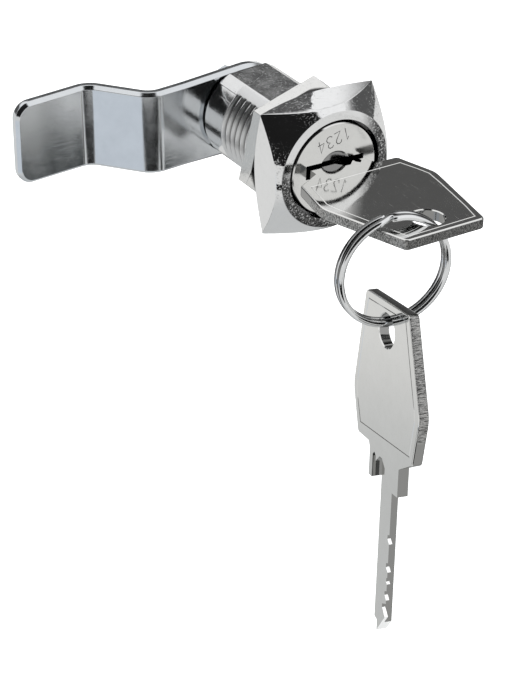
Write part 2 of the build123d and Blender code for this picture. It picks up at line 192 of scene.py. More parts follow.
class Paint(Nodes):
    """A material round one Principled shader."""

    def __init__(self, name, colour, metallic, roughness):
        self.mat = bpy.data.materials.new(name)
        self.mat.use_nodes = True
        super().__init__(self.mat.node_tree)
        self.shader = self.nodes["Principled BSDF"]
        values = {"Base Color": (*colour, 1), "Metallic": metallic, "Roughness": roughness}
        for socket, value in values.items():
            self.shader.inputs[socket].default_value = value
        self.where = self.nodes.new("ShaderNodeTexCoord").outputs
        self.at = self.where["Object"]
        self.relief = None

    def put(self, socket, output):
        self.links.new(output, self.shader.inputs[socket])

    def source(self, socket):
        """What is linked to an input of the shader."""
        return self.shader.inputs[socket].links[0].from_socket

    def show(self, shader):
        """Makes a shader the material's surface."""
        self.links.new(shader, self.nodes["Material Output"].inputs["Surface"])

    def measure_from(self, matrix):
        """Takes places in the frame that the matrix gives, instead of the lock's own."""
        values = {"Vector": self.where["Object"], "Location": matrix.translation,
                  "Rotation": matrix.to_euler()}
        self.at = self.node("ShaderNodeMapping", values, vector_type="TEXTURE").outputs[0]

    def facing(self, axis):
        """How far the surface looks along an axis, from -1 to 1."""
        return self.dot(self.where["Normal"], axis)

    def scaled(self, scale, turn=(0, 0, 0)):
        """Places in metres, stretched by scale."""
        values = {"Vector": self.at, "Scale": scale, "Rotation": turn}
        return self.node("ShaderNodeMapping", values).outputs[0]

    def noise(self, scale, detail=3.0, rough=0.5, size=(1000, 1000, 1000), turn=(0, 0, 0)):
        """Cloudy noise; a size of 1000 makes the scale count per millimetre."""
        values = {"Vector": self.scaled(size, turn), "Scale": scale, "Detail": detail, "Roughness": rough}
        return self.node("ShaderNodeTexNoise", values).outputs["Fac"]

    def place(self):
        """Coordinates in millimetres and the distance from the lock's axis."""
        x, y, z = self.node("ShaderNodeSeparateXYZ", {"Vector": self.scaled((1000, 1000, 1000))}).outputs
        return x, y, z, self.length(x, z)

    def darken(self, mask, tone):
        """Lays a dark tone over the colour that the shader has."""
        self.put("Base Color", self.mix(mask, self.source("Base Color"), (tone, tone, tone)))

    def bump(self, height, distance):
        """Adds a layer of relief, its distance in millimetres."""
        values = {"Height": height, "Distance": distance * MM}
        if self.relief is not None:
            values["Normal"] = self.relief
        self.relief = self.node("ShaderNodeBump", values).outputs[0]
        self.put("Normal", self.relief)


def chrome(name, colour, roughness, wave=0.0, pits=0.0, grain=0.0):
    """Plated metal with lightly varying gloss, soft waves, fine pits and grain; depths in millimetres."""
    # Each noise has its scale, detail and roughness
    cloud, patches, swell = (0.35, 4.0, 0.55), (0.8, 3.0), (0.45, 2.0, 0.4)
    speck, dust = (3.0, 4.0, 0.6), (14.0, 3.0, 0.7)
    glossy, dull, patch_tone = roughness * 0.7, roughness * 1.4, 0.94
    p = Paint(name, colour, 1.0, roughness)
    p.put("Roughness", p.ramp(p.noise(*cloud), (0.3, glossy), (0.7, dull)))
    p.put("Base Color", p.mix(p.noise(*patches), tuple(c * patch_tone for c in colour), colour))
    if wave:
        p.bump(p.noise(*swell), wave)
    if pits:
        p.bump(p.ramp(p.noise(*speck), (0.58, 0.0), (0.75, 1.0)), pits)
    if grain:
        p.bump(p.noise(*dust), grain)
    return p


def rolled_zinc(name, colour, roughness):
    """Rolled strip: fine lines one way, long scratches and cloudy plating."""
    lines_size, scratch_size, scratch_turn = (160, 2400, 1100), (90, 2600, 2200), (0, 0.35, 0)
    lines_depth, grain_depth = 0.0012, 0.0035
    glossy, dull, dark_tone, bright_tone = roughness * 0.75, roughness * 1.5, 0.86, 1.08
    p = Paint(name, colour, 1.0, roughness)
    cloud = p.noise(0.22, 4.0, 0.6)
    p.put("Roughness", p.ramp(cloud, (0.3, glossy), (0.7, dull)))
    dark, bright = (tuple(min(1, c * tone) for c in colour) for tone in (dark_tone, bright_tone))
    p.put("Base Color", p.mix(cloud, dark, bright))
    p.bump(p.noise(6.0, 3.0, 0.6, size=lines_size), lines_depth)
    scratch = p.ramp(p.noise(1.6, 2.0, 0.5, scratch_size, scratch_turn), (0.67, 0.0), (0.70, 1.0))
    p.bump(scratch, -lines_depth)
    p.bump(p.noise(7.0, 4.0, 0.75), grain_depth)
    return p


HOUSING = chrome("bright_chrome_head", (0.84, 0.845, 0.85), 0.055, wave=0.05, pits=0.013)
BARREL = chrome("barrel_chrome", (0.78, 0.785, 0.79), 0.12, wave=0.03, pits=0.006)
NUT = chrome("bright_nickel_nut", (0.80, 0.80, 0.79), 0.10, wave=0.02, pits=0.01)
PLUG = chrome("satin_nickel_plug", (0.78, 0.78, 0.77), 0.13, wave=0.004, grain=0.002)
ZINC = rolled_zinc("bright_zinc_strip", (0.71, 0.735, 0.76), 0.095)
FASTENER = chrome("bright_zinc_nut", (0.66, 0.69, 0.73), 0.2, wave=0.01, pits=0.01)
RING = chrome("ring_steel_wire", (0.80, 0.81, 0.82), 0.07, wave=0.006, pits=0.004)
BRASS = chrome("wafer_brass_sheet", (0.78, 0.62, 0.34), 0.25, pits=0.005, grain=0.002)
SPRING = chrome("spring_steel_wire", (0.62, 0.62, 0.62), 0.25, pits=0.005, grain=0.002)
INK = Paint("engraved_line", (0.10, 0.10, 0.10), 0.6, 0.45)
INK.put("Base Color", INK.ramp(INK.noise(4.0, 3.0), (0.3, 0.05), (0.7, 0.16)))


def plug_face_finish():
    """Fine concentric turning, with painted shade in the dish, on the flange's side, in the slot and as a
    crescent along the low left edge.
    """
    dish_depth, dish_rim, dish_shade_tone = (-7.42, -7.36), (4.2, 4.0), 0.30
    flange_rim, below_flange_edge = (8.0, 8.2), (-7.33, -7.2)
    slot_depth, front_part = (-7.08, -6.95), (5.0, 4.0)
    side_share, low_side, edge_width, edge_rim = 0.35, (-2.5, -6.5), 0.45, (8.62, 8.74)
    painted_edge_shade_tone, gap_shade_tone = 0.02, 0.015
    p = PLUG
    x, y, z, away = p.place()
    rings = p.node("ShaderNodeCombineXYZ", {"X": away}).outputs[0]
    turning = p.node("ShaderNodeTexNoise", {"Vector": rings, "Scale": 9.0, "Detail": 3.0}).outputs["Fac"]
    p.bump(turning, 0.0025)
    # Painted shade in the dish recess
    p.darken(p.product(p.rise(y, *dish_depth), p.rise(away, *dish_rim)), dish_shade_tone)
    # Painted shade: a dark crescent along the flange's low left edge, where the mouth's wall would shade
    # it
    low_left = p.rise(p.math("ADD", p.product(x, side_share), z), *low_side)
    near_edge = p.rise(p.math("ADD", away, p.product(low_left, edge_width)), *edge_rim)
    p.darken(p.product(low_left, near_edge), painted_edge_shade_tone)
    # Painted shade on the flange's side and inside the slot
    flange_side = p.product(p.rise(away, *flange_rim), p.rise(y, *below_flange_edge))
    painted_gap_shade = p.math("MAXIMUM", flange_side, p.rise(y, *slot_depth))
    p.darken(p.product(painted_gap_shade, p.rise(y, *front_part)), gap_shade_tone)


def head_finish():
    """Painted shade on the mouth's wall; the flat rim round it is grainy, with painted dark reflections
    in two places.
    """
    below_mouth_edge, mouth_rim, wall_shade_tone = (-7.58, -7.5), (9.4, 9.25), 0.012
    rim_edge, rim_depth, right_side, low_left_side = (10.9, 10.7), (-7.3, -7.5), (5.0, 9.0), (-5.0, -10.0)
    reflection_grain_share, reflection_shade_tone, grain_depth = (0.32, 0.50), 0.06, 0.014
    p = HOUSING
    x, y, z, away = p.place()
    # Painted shade on the mouth's wall
    p.darken(p.product(p.rise(y, *below_mouth_edge), p.rise(away, *mouth_rim)), wall_shade_tone)
    on_rim = p.product(p.rise(away, *rim_edge), p.rise(y, *rim_depth))
    low_left = p.rise(p.math("ADD", x, z), *low_left_side)
    # Painted dark reflections on the rim's right side and low left, broken up by its grain
    dull = p.math("MAXIMUM", p.rise(x, *right_side), low_left)
    grain = p.noise(3.2, 4.0, 0.75)
    p.darken(p.product(on_rim, dull, p.rise(grain, *reflection_grain_share)), reflection_shade_tone)
    p.bump(p.product(on_rim, grain), grain_depth)


def nut_finish():
    """The nut's front edge, close behind the head, gets painted shade."""
    front_edge, painted_edge_shade_tone = (0.95, 0.75), 0.06
    y = NUT.place()[1]
    # Painted shade on the nut's front edge
    NUT.darken(NUT.rise(y, *front_edge), painted_edge_shade_tone)


def barrel_finish():
    """The thread is duller than the rest, with painted shade in its valleys; fine streaks run along the
    barrel.
    """
    thread_back, thread_side, valley, valley_shade_tone = (14.6, 14.2), (8.1, 8.0), (8.75, 8.35), 0.22
    thread_roughness, streak_size, streak_depth = 0.30, (900, 160, 900), 0.008
    p = BARREL
    y, z, away = p.place()[1:]
    threaded = p.product(p.rise(y, *thread_back), p.rise(p.math("ABSOLUTE", z), *thread_side))
    # Painted shade in the thread's valleys
    p.darken(p.product(p.rise(away, *valley), threaded), valley_shade_tone)
    p.put("Roughness", p.math("MAXIMUM", p.source("Roughness"), p.product(threaded, thread_roughness)))
    p.bump(p.noise(1.5, 3.0, 0.6, size=streak_size), streak_depth)


def ring_finish():
    """Painted shade where the two turns touch, and painted dark reflection lines along the wire's outer
    and inner edge.
    """
    seam, seam_shade_tone = (0.18, 0.08), 0.015
    inside = RING_SHOWN_RADIUS - RING_SHOWN_WIRE
    outer_edge = (RING_SHOWN_RADIUS - 0.11, RING_SHOWN_RADIUS - 0.05)
    inner_edge = (inside + 0.07, inside + 0.03)
    edge_share, painted_edge_shade_tone = 0.8, 0.03
    p = RING
    place = p.scaled((1000, 1000, 1000))
    across = p.math("SUBTRACT", p.dot(place, RING_NORMAL), RING_CENTRE.dot(RING_NORMAL))
    # Painted shade where the two turns touch
    p.darken(p.rise(p.math("ABSOLUTE", across), *seam), seam_shade_tone)
    difference = p.node("ShaderNodeVectorMath", {0: place, 1: RING_CENTRE}, operation="SUBTRACT")
    from_centre = difference.outputs[0]
    radius = p.length(p.dot(from_centre, RING_ALONG), p.dot(from_centre, UP))
    # Painted dark reflections along the wire's outer and inner edge
    edges = p.math("MAXIMUM", p.rise(radius, *outer_edge), p.rise(radius, *inner_edge))
    p.darken(p.product(edges, edge_share), painted_edge_shade_tone)


def lock_key_matrix():
    """Frame of the key in the lock: x along it outwards, y across it, z up from its flat."""
    origin = (-KEY_SEAT * AXIS_Y + KEY_HEIGHT * TURNED_Z) * MM
    u, w = -AXIS_Y, TURNED_Z
    v = w.cross(u)
    return Matrix.Translation(origin) @ Matrix((u, v, w)).transposed().to_4x4()


def spare_key_matrix():
    """The same frame of the hanging key."""
    u = Vector((math.tan(SPARE_LEAN_SIDE), math.tan(SPARE_LEAN_BACK), 1)).normalized()
    across = Vector((math.cos(SPARE_YAW), math.sin(SPARE_YAW), 0))
    v = (across - u * across.dot(u)).normalized()
    w = u.cross(v)
    hang = RING_CENTRE - (RING_RADIUS - RING_WIRE - HANG_GAP) * UP
    origin = hang - u * (KEY_HOLE[0] + KEY_HOLE_RADIUS) - v * KEY_HOLE[1]
    return Matrix.Translation(origin * MM) @ Matrix((u, v, w)).transposed().to_4x4()


def key_metal(name, matrix, sheared_end):
    """Nickel plated brass: mirror faces with hairlines, a painted highlight that makes the cuts white,
    painted shade that darkens the walls, and the bow's walls sheared and rough.
    """
    bow_from, cuts_from, hole_rim = (8.6, 9.6), (-5.0, -6.0), (3.6, 3.9)
    wall_shade_tone, cut_highlight_tone = (0.30, 0.30, 0.295), (0.95, 0.95, 0.94)
    streak_share = 420 if sheared_end else 150
    grain_depth, hair_depth, wave_depth = 0.07, 0.002, 0.006
    p = Paint(name, (0.76, 0.76, 0.745), 1.0, 0.12)
    p.measure_from(matrix)
    lengthways, upwards = (p.math("ABSOLUTE", p.facing(matrix.col[k].to_3d())) for k in (0, 2))
    along, across = p.place()[:2]
    wall = p.rise(upwards, 0.6, 0.2)
    from_hole = p.length(p.math("SUBTRACT", along, KEY_HOLE[0]), p.math("SUBTRACT", across, KEY_HOLE[1]))
    torn = p.product(wall, p.rise(along, *bow_from), p.rise(from_hole, *hole_rim))
    if not sheared_end:
        torn = p.product(torn, p.rise(lengthways, 0.9, 0.6))
    grain = p.noise(6.0, 3.0, 0.7, size=(1200, 1200, streak_share))
    cloud = p.noise(0.4, 4.0, 0.6)
    smooth_gloss = p.ramp(cloud, (0.3, 0.045), (0.7, 0.09))
    torn_gloss = p.ramp(grain, (0.35, 0.12), (0.7, 0.4))
    p.put("Roughness", p.mix(torn, smooth_gloss, torn_gloss))
    face = p.mix(cloud, (0.74, 0.74, 0.725), (0.82, 0.82, 0.81))
    # Painted highlight: the cuts' slopes turn white and not metallic, for the white light they reflect
    cut = p.product(wall, p.rise(along, *cuts_from), p.rise(lengthways, 0.25, 0.4))
    # Painted shade: the smooth walls take a darker tone than the faces
    calm = p.mix(cut, p.mix(wall, face, wall_shade_tone), cut_highlight_tone)
    p.put("Metallic", p.math("SUBTRACT", 1.0, cut))
    # Torn walls: grain streaks between a dark and a light tone, both darker than the faces, partly as
    # painted shade
    edge = p.mix(p.rise(grain, 0.38, 0.62), (0.07, 0.07, 0.07), (0.58, 0.58, 0.57))
    if sheared_end:
        # Painted shade: the sheared end wall is darker still
        edge = p.mix(p.rise(lengthways, 0.75, 0.95), edge, (0.42, 0.42, 0.42), "MULTIPLY")
    p.put("Base Color", p.mix(torn, calm, edge))
    p.bump(p.product(grain, torn), grain_depth)
    hair = p.noise(2.0, 2.0, 0.5, size=(120, 2600, 500), turn=(0, 0, 0.5))
    p.bump(p.ramp(hair, (0.69, 0.0), (0.73, 1.0)), -hair_depth)
    p.bump(p.noise(0.5, 2.0, 0.4), wave_depth)
    return p


def to_object(name, mesh, paints, body, nodes=()):
    """Links a piece, says what it rides on and whose finish it takes, and hides the part's nodes that it
    stands for.
    """
    obj = bpy.data.objects.new(name, mesh)
    bpy.context.collection.objects.link(obj)
    for p in paints:
        mesh.materials.append(p.mat)
    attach(obj, body)
    if nodes:
        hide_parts(*nodes)
    return obj


@contextlib.contextmanager
def editing(mesh):
    """The mesh opened for edits, and written back after them."""
    bm = bmesh.new()
    bm.from_mesh(mesh)
    yield bm
    bm.to_mesh(mesh)
    bm.free()


def close_up(mesh, weld=0.0):
    """Welds what lies closer than weld, in metres, or caps the open ends; turns the faces outwards."""
    with editing(mesh) as bm:
        if weld:
            bmesh.ops.remove_doubles(bm, verts=bm.verts, dist=weld)
        else:
            bmesh.ops.holes_fill(bm, edges=bm.edges, sides=0)
        bmesh.ops.recalc_face_normals(bm, faces=bm.faces)


def smooth(mesh, degrees):
    """Smooth shading, with edges sharper than the angle kept sharp."""
    mesh.polygons.foreach_set("use_smooth", [True] * len(mesh.polygons))
    mesh.set_sharp_from_angle(angle=math.radians(degrees))


def flat_normals(obj, weight):
    """Keeps large faces flat beside small rounds."""
    mod = obj.modifiers.new("flat_faces", "WEIGHTED_NORMAL")
    mod.keep_sharp = True
    mod.weight = weight


def bevelled(obj, width, segments, degrees):
    """Breaks edges sharper than the angle by a small round, width in millimetres."""
    mod = obj.modifiers.new("edge_round", "BEVEL")
    mod.width = width * MM
    mod.segments = segments
    mod.limit_method = "ANGLE"
    mod.angle_limit = math.radians(degrees)
    mod.use_clamp_overlap = True
    mod.harden_normals = True
    flat_normals(obj, 80)


def cad_mesh(node):
    """A copy of a node's mesh, welded, with its flat faces in one piece each and no finish."""
    weld, flat = 2e-7, math.radians(0.6)
    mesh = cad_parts[node].data.copy()
    with editing(mesh) as bm:
        bmesh.ops.remove_doubles(bm, verts=bm.verts, dist=weld)
        bmesh.ops.dissolve_limit(bm, angle_limit=flat, verts=bm.verts, edges=bm.edges, delimit={"NORMAL"})
        for face in bm.faces:
            face.material_index = 0
    mesh.materials.clear()
    if "custom_normal" in mesh.attributes:
        mesh.attributes.remove(mesh.attributes["custom_normal"])
    return mesh


def rounded_rims(mesh, chosen, width, segments=3):
    """Rounds the edges that chosen() picks by their two face normals and middle, width in millimetres."""
    with editing(mesh) as bm:
        picked = []
        for edge in bm.edges:
            if len(edge.link_faces) != 2:
                continue
            one, two = (face.normal for face in edge.link_faces)
            middle = (edge.verts[0].co + edge.verts[1].co) / 2 / MM
            if chosen(one, two, middle) or chosen(two, one, middle):
                picked.append(edge)
        bmesh.ops.bevel(bm, geom=picked, offset=width * MM, offset_type="OFFSET", segments=segments,
                        profile=0.5, affect="EDGES", clamp_overlap=False)
        bmesh.ops.dissolve_degenerate(bm, edges=bm.edges, dist=1e-6)


def dress(node, name, paint, body, width, segments=2, degrees=28, rims=None):
    """Turns a node's mesh into a visible piece with broken edges."""
    mesh = cad_mesh(node)
    if rims:
        rounded_rims(mesh, *rims)
    smooth(mesh, 32)
    bevelled(to_object(name, mesh, [paint], body, [node]), width, segments, degrees)


def grid_mesh(name, rows):
    """A mesh from rows of points in millimetres; each row is a closed loop, joined to the next one."""
    rows = np.asarray(rows, dtype=float) * MM
    count, width = rows.shape[:2]
    faces = []
    for i in range(count - 1):
        a = i * width
        for j in range(width):
            k = (j + 1) % width
            faces.append((a + j, a + k, a + width + k, a + width + j))
    mesh = bpy.data.meshes.new(name)
    mesh.from_pydata(rows.reshape(-1, 3).tolist(), [], faces)
    mesh.update()
    return mesh


# Head and barrel
def folded(angle, period):
    """How far an angle lies from the nearest multiple of the period."""
    return np.abs((angle + period / 2) % period - period / 2)


def square_radius(theta):
    """Distance from the axis to the rounded square at each angle."""
    half = HEAD_SIDE / 2
    fold = folded(theta, QUARTER_CIRCLE)
    side = half / np.cos(fold)
    centre = half - HEAD_CORNER
    along = centre * (np.cos(fold) + np.sin(fold))
    reach = along + np.sqrt(np.maximum(along ** 2 - 2 * centre ** 2 + HEAD_CORNER ** 2, 0))
    in_corner = side * np.sin(fold) > centre
    return np.where(in_corner, reach, side)


def rounded_path(points, radii, run_steps, arc_steps=4):
    """Samples a polyline (r, y) per angle with rounded corners; every angle gets as many points."""
    points = [np.stack(np.broadcast_arrays(*p), axis=-1) for p in points]
    size = max(len(p) if p.ndim > 1 else 1 for p in points)
    points = [np.broadcast_to(p, (size, 2)) for p in points]
    longest_share = 0.45
    out = []
    last = None
    for k, corner in enumerate(points):
        if radii[k] == 0:
            entry = leave = corner
            arc = [corner]
        else:
            before, after = points[k - 1] - corner, points[k + 1] - corner
            len_b = np.linalg.norm(before, axis=1, keepdims=True)
            len_a = np.linalg.norm(after, axis=1, keepdims=True)
            before, after = before / np.maximum(len_b, 1e-9), after / np.maximum(len_a, 1e-9)
            cosine = np.clip((before * after).sum(1, keepdims=True), -0.9999, 0.9999)
            half_angle = np.arccos(cosine) / 2
            cut = np.minimum(radii[k] / np.tan(half_angle), longest_share * np.minimum(len_a, len_b))
            entry, leave = corner + before * cut, corner + after * cut
            arc = [(1 - t) ** 2 * entry + 2 * t * (1 - t) * corner + t ** 2 * leave
                   for t in np.linspace(0, 1, arc_steps + 1)]
        if last is not None and run_steps[k] > 1:
            out += [last * (1 - t) + entry * t for t in np.linspace(0, 1, run_steps[k] + 1)[1:-1]]
        out.extend(arc)
        last = leave
    return out


def column_degrees():
    """Angles of the columns: one each degree, closer at the head's corners and at the barrel's edges."""
    degrees = list(np.arange(0, 360, 1.0))
    for corner in (45, 135, 225, 315):
        degrees += [corner + d for d in (-0.8, -0.4, -0.2, 0.2, 0.4, 0.8)]
    flat_edge = math.degrees(math.asin(BARREL_FLAT / BARREL_RADIUS))
    beyond_thread = THREAD_HALF_SPAN_DEGREES + 1.2
    for edge in (flat_edge, THREAD_HALF_SPAN_DEGREES, beyond_thread, *REAR_RECESS_DEGREES):
        for d in (-0.25, 0.25):
            degrees += [edge + d, 180 - edge + d, 180 + edge + d, 360 - edge + d]
    return np.array(sorted(set(np.round(degrees, 3))))


def head_rows(theta, barrel):
    """Mouth, front rim, front cone, side, rear cone and back, as far as the barrel."""
    least_side = 0.04
    far = square_radius(theta)
    cone = HEAD_FRONT + far - FRONT_FLAT_RADIUS
    heel = -BACK_SLOPE * (far - BACK_FLAT_RADIUS)
    middle = (cone + heel) / 2
    cone, heel = np.minimum(cone, middle - least_side / 2), np.maximum(heel, middle + least_side / 2)
    corners = [(MOUTH_RADIUS, MOUTH_FLOOR), (MOUTH_RADIUS, HEAD_FRONT), (FRONT_FLAT_RADIUS, HEAD_FRONT),
               (far, cone), (far, heel), (BACK_FLAT_RADIUS, 0.0), (barrel, 0.0)]
    radii = [0, 0.12, 0.12, 0.22, 0.18, 0.25, 0]
    return rounded_path(corners, radii, run_steps=[0, 3, 2, 8, 5, 5, 3])


def barrel_rows(theta, degrees, barrel):
    """Thread with its land behind it, rear recesses and end chamfer."""
    start, row_step, land_gap, land_rows = 0.02, 0.075, 0.12, 26
    crest_share, flank_share = 0.10, 0.72
    side_run, run_in, run_out, recess_run = 0.9, 0.5, 0.35, 0.2
    fold = folded(degrees, 180)
    full = np.clip((THREAD_HALF_SPAN_DEGREES + side_run - fold) / side_run, 0, 1)
    recess = (fold > REAR_RECESS_DEGREES[0]) & (fold < REAR_RECESS_DEGREES[1])
    on_round = barrel > BARREL_RADIUS - 0.02
    places = [*np.arange(start, THREAD_END + 0.05, row_step),
              *np.linspace(THREAD_END + land_gap, BARREL_END, land_rows)]
    rows = []
    for y in places:
        phase = ((y - THREAD_PITCH * theta / FULL_CIRCLE) / THREAD_PITCH) % 1.0
        valley = np.clip((1 - np.abs(2 * phase - 1) - crest_share) / flank_share, 0, 1)
        fade = np.clip((y - THREAD_START) / run_in, 0, 1) * np.clip((THREAD_END - y) / run_out, 0, 1)
        radius = barrel - THREAD_DEPTH * valley * full * fade * on_round
        if y > THREAD_END:
            radius = radius - RECESS_DEPTH * recess * np.clip((y - THREAD_END) / recess_run, 0, 1)
        radius = np.minimum(radius, barrel - END_CHAMFER + (BARREL_END - y))
        rows.append(np.stack([radius, np.full_like(theta, y)], axis=-1))
    return rows


def bore_rows(theta):
    """Rear pocket, bore and the wafers' grooves, back to the mouth's floor."""
    lip, pocket_floor = 0.1, BARREL_END - REAR_POCKET_DEPTH
    turned = folded(theta - REST_TURN, QUARTER_CIRCLE)
    groove_side = GROOVE_HALF_WIDTH / np.maximum(np.sin(turned), 1e-6)
    groove = np.maximum(np.minimum(GROOVE_REACH / np.cos(turned), groove_side), BORE_RADIUS)
    profile = [(REAR_POCKET_RADIUS + lip, BARREL_END), (REAR_POCKET_RADIUS, BARREL_END - lip),
               (REAR_POCKET_RADIUS, pocket_floor), (BORE_RADIUS, pocket_floor),
               (BORE_RADIUS, GROOVE_BACK), (groove, GROOVE_BACK), (groove, GROOVE_FRONT),
               (BORE_RADIUS, GROOVE_FRONT), (BORE_RADIUS, MOUTH_FLOOR), (MOUTH_RADIUS, MOUTH_FLOOR)]
    zero = np.zeros_like(theta)
    return [np.stack([zero + radius, zero + y], axis=-1) for radius, y in profile]


def build_housing():
    """Head and barrel as one skin: rows run along the profile, columns round the axis."""
    degrees = column_degrees()
    theta = np.radians(degrees)
    barrel = np.minimum(BARREL_RADIUS, BARREL_FLAT / np.maximum(np.abs(np.sin(theta)), 1e-6))
    head = head_rows(theta, barrel)
    rows = head + barrel_rows(theta, degrees, barrel) + bore_rows(theta)
    mesh = grid_mesh("head_and_barrel", [
        np.stack([radius * np.cos(theta), y, radius * np.sin(theta)], axis=-1)
        for radius, y in (row.T for row in rows)])
    row_of_face = np.repeat(np.arange(len(rows) - 1), len(degrees))
    mesh.polygons.foreach_set("material_index", (row_of_face >= len(head) - 1).astype(np.int32))
    close_up(mesh, weld=1e-7)
    smooth(mesh, 35)
    obj = to_object("head_and_barrel", mesh, [HOUSING, BARREL], "lock_case", ["housing"])
    flat_normals(obj, 60)


def build_ring():
    """One wire wound two turns side by side; it steps across once, and its ends show there."""
    wire = RING_SHOWN_WIRE / 2
    offset = wire - 0.01
    middle_radius = RING_SHOWN_RADIUS - wire
    end_gap, half_step = math.radians(3), math.radians(13)
    crossing = RING_CUT + FULL_CIRCLE
    end_sizes = {0: 0.86, 1: 0.96}
    cap_size = 0.02
    section = [(math.cos(a), math.sin(a)) for a in np.linspace(0, FULL_CIRCLE, 20, endpoint=False)]
    angles = np.linspace(RING_CUT + end_gap, RING_CUT + 2 * FULL_CIRCLE - end_gap, 420)
    rows = []
    for k, angle in enumerate(angles):
        t = np.clip((angle - crossing) / (2 * half_step) + 0.5, 0, 1)
        side = offset * (2 * (t * t * (3 - 2 * t)) - 1)
        radial = math.cos(angle) * RING_ALONG + math.sin(angle) * UP
        size = wire * end_sizes.get(min(k, len(angles) - 1 - k), 1.0)
        rows.append([RING_CENTRE + radial * (middle_radius + c * size) + RING_NORMAL * (side + s * size)
                     for c, s in section])
    caps = []
    for row in (rows[0], rows[-1]):
        centre = sum(row, Vector((0, 0, 0))) / len(section)
        caps.append([centre + (p - centre) * cap_size for p in row])
    mesh = grid_mesh("split_ring", [caps[0], *rows, caps[1]])
    close_up(mesh)
    smooth(mesh, 50)
    to_object("split_ring", mesh, [RING], "ring_body", ["key_ring"])


# Keys. The stamped line runs a little inside the bow's outline, given along and across the key.
STAMPED_LINE = [(5.9, -8.9), (9.1, -9.5), (12.5, -10.2), (14.5, -9.8), (18.8, -8.3), (28.7, -5.0),
                (27.9, 9.1), (23.9, 10.0), (15.0, 11.4), (10.9, 11.9), (8.6, 11.2), (5.2, 9.9)]


def line_cutter():
    """A ditch of V section along the stamped line, open above the key's face."""
    half_width, depth, above = 0.11, 0.07, 0.6
    face = KEY_THICKNESS / 2
    rows = []
    for k, point in enumerate(STAMPED_LINE):
        here = Vector((*point, 0))
        ahead = Vector((*STAMPED_LINE[(k + 1) % len(STAMPED_LINE)], 0)) - here
        behind = here - Vector((*STAMPED_LINE[k - 1], 0))
        along = (ahead.normalized() + behind.normalized()).normalized()
        out = Vector((along.y, -along.x, 0)) / max(along.dot(ahead.normalized()), 0.5)
        top, flank = (face + depth * above) * UP, out * half_width * (1 + above)
        rows.append([here + flank + top, here - (depth - face) * UP, here - flank + top])
    mesh = grid_mesh("line_cutter", rows + rows[:1])
    close_up(mesh, weld=1e-8)
    return mesh


def hole_cutter():
    """Opens the key's hole a little and breaks its edges, which gives the ring its room to swing."""
    reach, flare, below_face, tip = 1.3, 0.47, 0.17, 0.01
    straight, wide = KEY_THICKNESS / 2 - below_face, SHOWN_HOLE_RADIUS + flare
    profile = [(tip, -reach), (wide, -reach), (SHOWN_HOLE_RADIUS, -straight),
               (SHOWN_HOLE_RADIUS, straight), (wide, reach), (tip, reach)]
    turn = np.linspace(0, FULL_CIRCLE, 64, endpoint=False)
    mesh = grid_mesh("hole_cutter", [
        [(KEY_HOLE[0] + radius * math.cos(a), KEY_HOLE[1] + radius * math.sin(a), z) for a in turn]
        for radius, z in profile])
    close_up(mesh)
    return mesh


def evaluated_mesh(obj):
    """The object's mesh after its modifiers."""
    bpy.context.view_layer.update()
    return bpy.data.meshes.new_from_object(obj.evaluated_get(bpy.context.evaluated_depsgraph_get()))


def carved(mesh, cutter_mesh):
    """The mesh less the cutter."""
    body = bpy.data.objects.new("carve_body", mesh)
    tool = bpy.data.objects.new("carve_tool", cutter_mesh)
    for obj in (body, tool):
        bpy.context.collection.objects.link(obj)
    mod = body.modifiers.new("carve", "BOOLEAN")
    mod.operation = "DIFFERENCE"
    mod.solver = "EXACT"
    mod.object = tool
    result = evaluated_mesh(body)
    for obj in (body, tool):
        bpy.data.objects.remove(obj)
    return result


def bow_rim(wall, face, middle):
    """Edges of the bow between its faces and its outer walls, not those of its hole."""
    bow_from, neck_half_width, past_neck, hole_margin = 2.1, 5.9, 8, 0.7
    off_hole = math.hypot(middle.x - KEY_HOLE[0], middle.y - KEY_HOLE[1]) > KEY_HOLE_RADIUS + hole_margin
    on_face = abs(abs(middle.z) - KEY_THICKNESS / 2) < 0.05
    on_bow = middle.x > bow_from and (middle.x > past_neck or abs(middle.y) > neck_half_width)
    return abs(wall.z) < 0.2 and abs(face.z) > 0.95 and off_hole and on_face and on_bow


def build_key(node, name, body, matrix, paint):
    """A key with rounded bow edges, its stamped line and its opened hole."""
    mesh = cad_mesh(node)
    mesh.transform(matrix.inverted())
    rounded_rims(mesh, bow_rim, 0.3)
    for cutter in (line_cutter(), hole_cutter()):
        mesh = carved(mesh, cutter)
    mesh.materials.clear()
    mesh.transform(matrix)
    smooth(mesh, 30)
    bevelled(to_object(name, mesh, [paint], body, [node]), 0.1, 2, 50)


# Strokes of the digits on the plug's face, in millimetres before they are enlarged
STROKES = {
    "1": [(0.3, 1.6), (0.62, 2.0), (0.62, 0.0)],
    "2": [(0.04, 1.5), (0.16, 1.84), (0.5, 2.0), (0.86, 1.86), (1.0, 1.5), (0.86, 1.14), (0.0, 0.0),
          (1.06, 0.0)],
    "3": [(0.05, 1.72), (0.3, 1.97), (0.66, 1.97), (0.94, 1.72), (0.9, 1.3), (0.5, 1.08), (0.92, 0.86),
          (1.04, 0.46), (0.8, 0.08), (0.36, 0.0), (0.0, 0.26)],
    "4": [(0.8, 0.0), (0.8, 2.0), (0.0, 0.6), (1.1, 0.6)],
}
DIGIT_MIDDLE = (0.55, 1.0)


